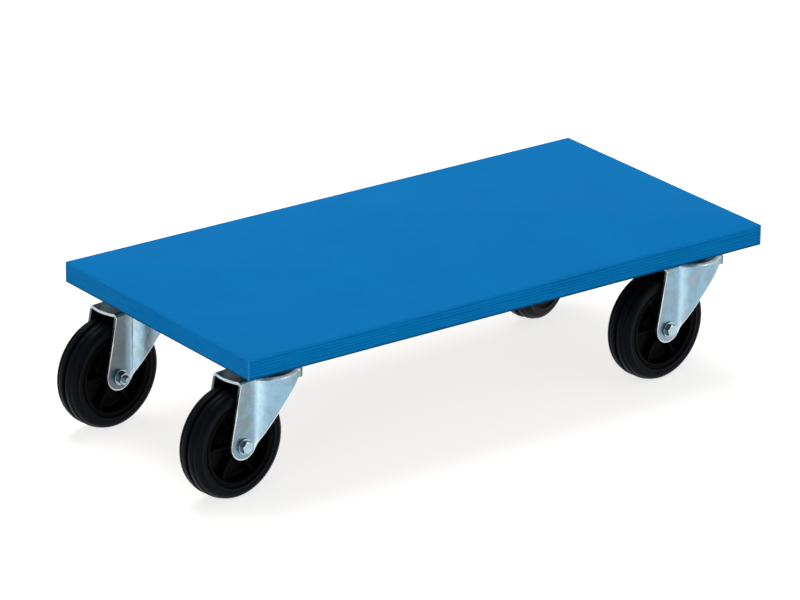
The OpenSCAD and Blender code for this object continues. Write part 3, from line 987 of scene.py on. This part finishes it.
def build_plate(spot):
    outer = []
    inner_x, inner_y = PLATE_HALF_X - PLATE_CORNER, PLATE_HALF_Y - PLATE_CORNER
    for x, y, a in ((1, 1, 0), (-1, 1, 90), (-1, -1, 180), (1, -1, 270)):
        outer += arc(x * inner_x, y * inner_y, PLATE_CORNER, a, a + 90, 8)
    holes = []
    for x, y in SCREW_SPOTS:
        holes.append(arc(x + SLOT_HALF, y, SLOT_R, -90, 90, 10) + arc(x - SLOT_HALF, y, SLOT_R, 90, 270, 10))
    holes.append(arc(0, 0, PLATE_HOLE_R, 0, 360, 64)[:-1])
    flat = outline_plate("plate", outer, holes, PLATE_LOW, PLATE_HIGH, 0.5)
    # pressed boss with the upper ball track
    prof = [(27.5, 147.3), (26.0, 147.02), (24.4, 146.8), (23.3, 146.3), (22.6, 145.6), (22.5, 144.8),
            (22.5, 143.0), (22.2, 142.2), (21.4, 141.75), (20.0, 141.7)]
    prof += track(UPPER_TRACK, 56, 14, 1)[::-1]
    prof += [(13.0, 141.7), (6.2, 141.7), (6.2, 144.6), (13.6, 144.6), (14.0, 145.0), (14.0, 149.4),
             (14.6, 149.98), (27.5, 149.9)]
    parts = [flat, lathe(prof, 96)]
    ob = make("top_plate_" + spot, *join_parts(parts), [MAT_PLATE], king_matrix(spot), sharp=40)
    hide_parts("mounting_plate_" + spot)
    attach(ob, "deck")


def build_king(spot):
    """A riveted stud with a domed head below."""
    prof = [(0.05, 126.4), (3.0, 126.55), (6.5, 127.15), (8.4, 128.0), (9.3, 129.0), (9.5, 129.8),
            (9.5, 130.4), (6.0, 130.4), (6.0, 144.6), (9.6, 144.6), (10.0, 145.1), (9.8, 147.7),
            (8.6, 149.1), (5.0, 149.55), (0.05, 149.6)]
    ob = make("king_stud_" + spot, *lathe(prof, 64, closed=False), [MAT_BOLT], king_matrix(spot), sharp=50)
    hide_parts("kingpin_" + spot)
    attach(ob, "deck")


def build_dust_ring(spot):
    outline = [(20.55, 139.1), (22.45, 139.1), (22.7, 139.9), (22.45, 141.25), (20.55, 141.25)]
    prof = rounded(outline, 0.4, 3)
    ob = make("dust_lip_" + spot, *lathe(prof, 96), [MAT_SEAL], king_matrix(spot), sharp=60)
    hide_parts("dust_ring_" + spot)
    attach(ob, "fork_" + spot)


def build_screws():
    parts = []
    for spot in SPOTS:
        m = king_matrix(spot)
        for x, y in SCREW_SPOTS:
            at = Matrix.Scale(1 / MM, 4) @ m @ Matrix.Translation((x, y, PLATE_LOW))
            at = at @ Matrix.Rotation(math.pi, 4, "X") @ Matrix.Rotation(rng.uniform(0, math.pi), 4, "Z")
            parts.append(moved(hexagon(HEX_FLATS, HEAD_H), at))
            parts.append(moved(lathe(SCREW_SHANK, 24, closed=False), at))
    ob = make("lag_screws", *join_parts(parts), [MAT_BOLT], None, sharp=35)
    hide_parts("plate_screws")
    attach(ob, "deck")


build_deck()
for s in SPOTS:
    build_fork(s)
    build_tyre(s)
    build_rim(s)
    build_axle(s)
    build_plate(s)
    build_king(s)
    build_dust_ring(s)
build_screws()

# inner pieces keep their CAD shape and get their finish
for s in SPOTS:
    for part in ("lower_race", "upper_balls", "lower_balls", "axle_sleeve", "roller_bearing"):
        for holder in frame["nodes"][f"{part}_{s}"].material_slots:
            holder.material = MAT_STEEL


# ---------------------------------------------------------------- studio, in metres
FLOOR_HALF, FLOOR_CELLS, FLOOR_Z = 9, 24, -0.0002
GLOW_AT = (-1.25, -1.0, 0)  # the floor glows brightest round this place: a painted pool of light
CAMERA_AT, CAMERA_AIM = (-3.3828, -4.5366, 2.3536), (0.0136, 0.0146, 0.1040)
CAMERA_LENS, CAMERA_ROLL = 247.3, 0.67


def build_floor():
    n = Nodes("floor_paper")
    tone = n.noise(n.scaled(1, 1, 1), 1.2, 3, 0.5)
    colour = n.ramp(tone, [(0.3, (0.43, 0.42, 0.40)), (0.7, (0.45, 0.44, 0.42))])
    pool = n.add("ShaderNodeVectorMath", operation="DISTANCE")
    n.put(pool.inputs[0], n.coords)
    pool.inputs[1].default_value = GLOW_AT
    # the floor glows by itself: 0.75 everywhere, rising to 2.0 in a painted pool of light round GLOW_AT
    glow = n.grey(pool.outputs["Value"], 2.0, 0.75, 0.55, 1.05)
    mat = n.finish(Base_Color=colour, Roughness=0.9, Specular_IOR_Level=0.0, Emission_Color=(1, 1, 1, 1),
                   Emission_Strength=glow)
    n = FLOOR_CELLS
    lines = [-FLOOR_HALF + 2 * FLOOR_HALF * i / n for i in range(n + 1)]
    v = [Vector((x, y, FLOOR_Z)) for x in lines for y in lines]
    f = []
    for i in range(n):
        for j in range(n):
            a = i * (n + 1) + j
            f.append((a, a + n + 1, a + n + 2, a + 1))
    ob = make("floor", v, f, [mat], Matrix.Identity(4))


def area(name, place, target, size, power):
    li = bpy.data.lights.new(name, "AREA")
    li.shape = "RECTANGLE"
    li.size, li.size_y = size
    li.energy = power
    li.color = (1, 1, 1)
    ob = bpy.data.objects.new(name, li)
    ob.location = place
    ob.rotation_euler = (Vector(target) - Vector(place)).to_track_quat("-Z", "Y").to_euler()
    scene.collection.objects.link(ob)


def build_lights():
    world = bpy.data.worlds.new("studio")
    scene.world = world
    world.use_nodes = True
    world.node_tree.nodes["Background"].inputs["Color"].default_value = (1.0, 1.0, 1.0, 1)
    world.node_tree.nodes["Background"].inputs["Strength"].default_value = 0.45
    area("key", (0.3, 0.9, 3.0), (0.1, 0, 0.1), (2.2, 2.2), 88)
    area("right_panel", (2.0, -3.0, 0.9), (0, 0, 0.1), (1.8, 1.2), 12)
    area("left_panel", (-3.0, -1.4, 1.2), (0, 0, 0.1), (1.0, 1.8), 10)


def build_camera():
    data = bpy.data.cameras.new("camera")
    data.lens = CAMERA_LENS
    data.sensor_width = 36
    data.clip_start, data.clip_end = 0.1, 60
    cam = bpy.data.objects.new("camera", data)
    scene.collection.objects.link(cam)
    cam.location = CAMERA_AT
    look = (Vector(CAMERA_AIM) - cam.location).to_track_quat("-Z", "Y")
    cam.rotation_mode = "QUATERNION"
    cam.rotation_quaternion = look @ Matrix.Rotation(math.radians(CAMERA_ROLL), 3, "Z").to_quaternion()
    scene.camera = cam
    scene.view_settings.view_transform = "Standard"
    scene.view_settings.look = "None"


build_floor()
build_lights()
build_camera()
